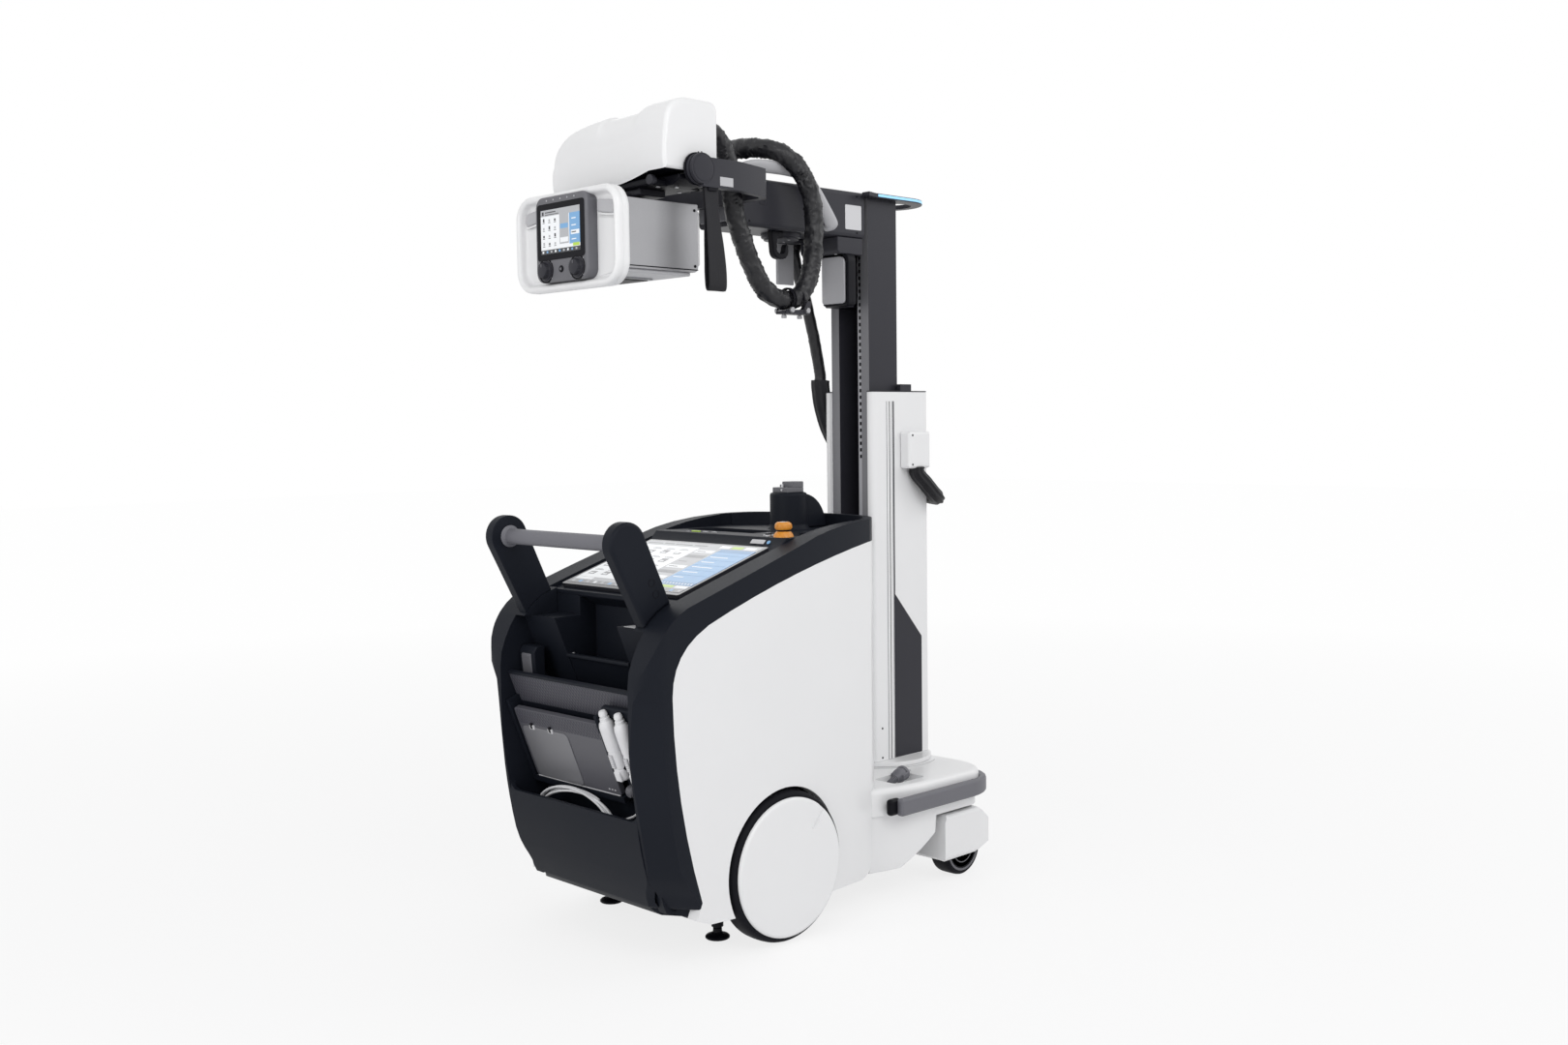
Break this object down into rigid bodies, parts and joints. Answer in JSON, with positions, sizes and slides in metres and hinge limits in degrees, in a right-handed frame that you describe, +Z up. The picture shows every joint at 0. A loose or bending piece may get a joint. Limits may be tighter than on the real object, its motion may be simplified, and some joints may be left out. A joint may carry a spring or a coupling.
{
  "type": "mobile x-ray machine",
  "caption": "Self-driven mobile x-ray cart with a turning telescopic column, a sliding arm and a yoke-held tube head with its collimator.",
  "frame": {"origin": "on the floor, under the middle of the whole machine's box", "axes": "+X to the right seen from the operator's end, +Y from the operator's end to the column, +Z up"},
  "size_m": [0.555, 1.07, 1.65],
  "materials": {
    "white_shell": "satin moulded",
    "dark_trim": "fine-grained moulded",
    "dark_metal": "satin paint",
    "grey_trim": "soft moulded",
    "black_plastic": "moulded",
    "frame_metal": "painted steel",
    "brushed_metal": "brushed",
    "screen_glass": "lit panel behind gloss",
    "orange_plastic": "moulded",
    "pale_plastic": "moulded",
    "tyre": "moulded rubber",
    "hose": "woven sleeve",
    "cord": "soft jacket"
  },
  "bodies": {
    "cart": {"chassis": "frame_metal", "power_block": "frame_metal", "side_panels": "white_shell", "side_trims": "dark_trim", "rear_panel": "white_shell", "fascia": "dark_trim", "bin_rack": "dark_trim", "detector": "pale_plastic", "switch_holder": "dark_trim", "hand_switches": "white_shell", "handle_ears": "dark_trim", "handle_bar": "dark_trim", "console_deck": "dark_trim", "screen": "screen_glass", "dock": "dark_trim", "console_controls": "orange_plastic", "base_cover": "white_shell", "base_skirt": "white_shell", "bumper": "grey_trim", "mains_plug": "grey_trim", "levelling_feet": "black_plastic", "switch_cord": "cord", "cord_coil": "cord"},
    "drive_wheel_left": {"tyre_left": "tyre", "disc_left": "white_shell"},
    "drive_wheel_right": {"tyre_right": "tyre", "disc_right": "white_shell"},
    "caster_left": {"caster_cover_left": "white_shell"},
    "caster_right": {"caster_cover_right": "white_shell"},
    "caster_roller_left": {"caster_wheel_left": "tyre"},
    "caster_roller_right": {"caster_wheel_right": "tyre"},
    "column": {"turntable": "white_shell", "outer_column": "white_shell", "column_strips": "grey_trim", "cable_box": "white_shell", "column_sleeve": "hose"},
    "mast": {"inner_mast": "dark_metal", "lift_strip": "brushed_metal", "lamp_ring": "dark_metal", "mast_sleeve": "hose"},
    "lift": {"carriage": "dark_metal", "arm_outer": "dark_metal", "grab_rod": "pale_plastic", "arm_hose": "hose"},
    "arm": {"arm_inner": "grey_trim"},
    "fork": {"yoke": "dark_metal", "strap": "hose", "loop_hose": "hose"},
    "head": {"tube_cover": "white_shell", "tube_base": "black_plastic", "head_hose": "hose"},
    "collimator": {"collimator_box": "brushed_metal", "bezel": "white_shell", "control_panel": "dark_trim", "knobs": "black_plastic"}
  },
  "joints": [
    {"name": "drive_spin_left", "type": "hinge", "parent": "cart", "child": "drive_wheel_left", "pos_m": [-0.24, -0.155, 0.152], "axis": [1, 0, 0], "continuous": true},
    {"name": "drive_spin_right", "type": "hinge", "parent": "cart", "child": "drive_wheel_right", "pos_m": [0.24, -0.155, 0.152], "axis": [1, 0, 0], "continuous": true},
    {"name": "caster_swivel_left", "type": "hinge", "parent": "cart", "child": "caster_left", "pos_m": [-0.203, 0.423, 0.1], "axis": [0, 0, 1], "continuous": true},
    {"name": "caster_swivel_right", "type": "hinge", "parent": "cart", "child": "caster_right", "pos_m": [0.203, 0.423, 0.1], "axis": [0, 0, 1], "continuous": true},
    {"name": "caster_roll_left", "type": "hinge", "parent": "caster_left", "child": "caster_roller_left", "pos_m": [-0.203, 0.441, 0.062], "axis": [1, 0, 0], "continuous": true},
    {"name": "caster_roll_right", "type": "hinge", "parent": "caster_right", "child": "caster_roller_right", "pos_m": [0.203, 0.441, 0.062], "axis": [1, 0, 0], "continuous": true},
    {"name": "column_turn", "type": "hinge", "parent": "cart", "child": "column", "pos_m": [0, 0.411, 0.25], "axis": [0, 0, 1], "range_deg": [-317, 317]},
    {"name": "mast_slide", "type": "slide", "parent": "column", "child": "mast", "axis": [0, 0, -1], "range_m": [0, 0.4], "deforming": ["column_sleeve"]},
    {"name": "carriage_slide", "type": "slide", "parent": "mast", "child": "lift", "axis": [0, 0, 1], "range_m": [-0.44, 0], "deforming": ["mast_sleeve"]},
    {"name": "arm_extend", "type": "slide", "parent": "lift", "child": "arm", "axis": [0, -1, 0], "range_m": [0, 0.28], "deforming": ["arm_hose"]},
    {"name": "yoke_roll", "type": "hinge", "parent": "arm", "child": "fork", "pos_m": [0, -0.085, 1.5], "axis": [0, 1, 0], "range_deg": [-180, 180], "deforming": ["loop_hose"]},
    {"name": "head_tilt", "type": "hinge", "parent": "fork", "child": "head", "pos_m": [0, -0.297, 1.515], "axis": [-1, 0, 0], "range_deg": [-20, 90], "deforming": ["head_hose"]},
    {"name": "collimator_turn", "type": "hinge", "parent": "head", "child": "collimator", "pos_m": [0, -0.351, 1.456], "axis": [0, 0, 1], "range_deg": [-90, 90]}
  ]
}
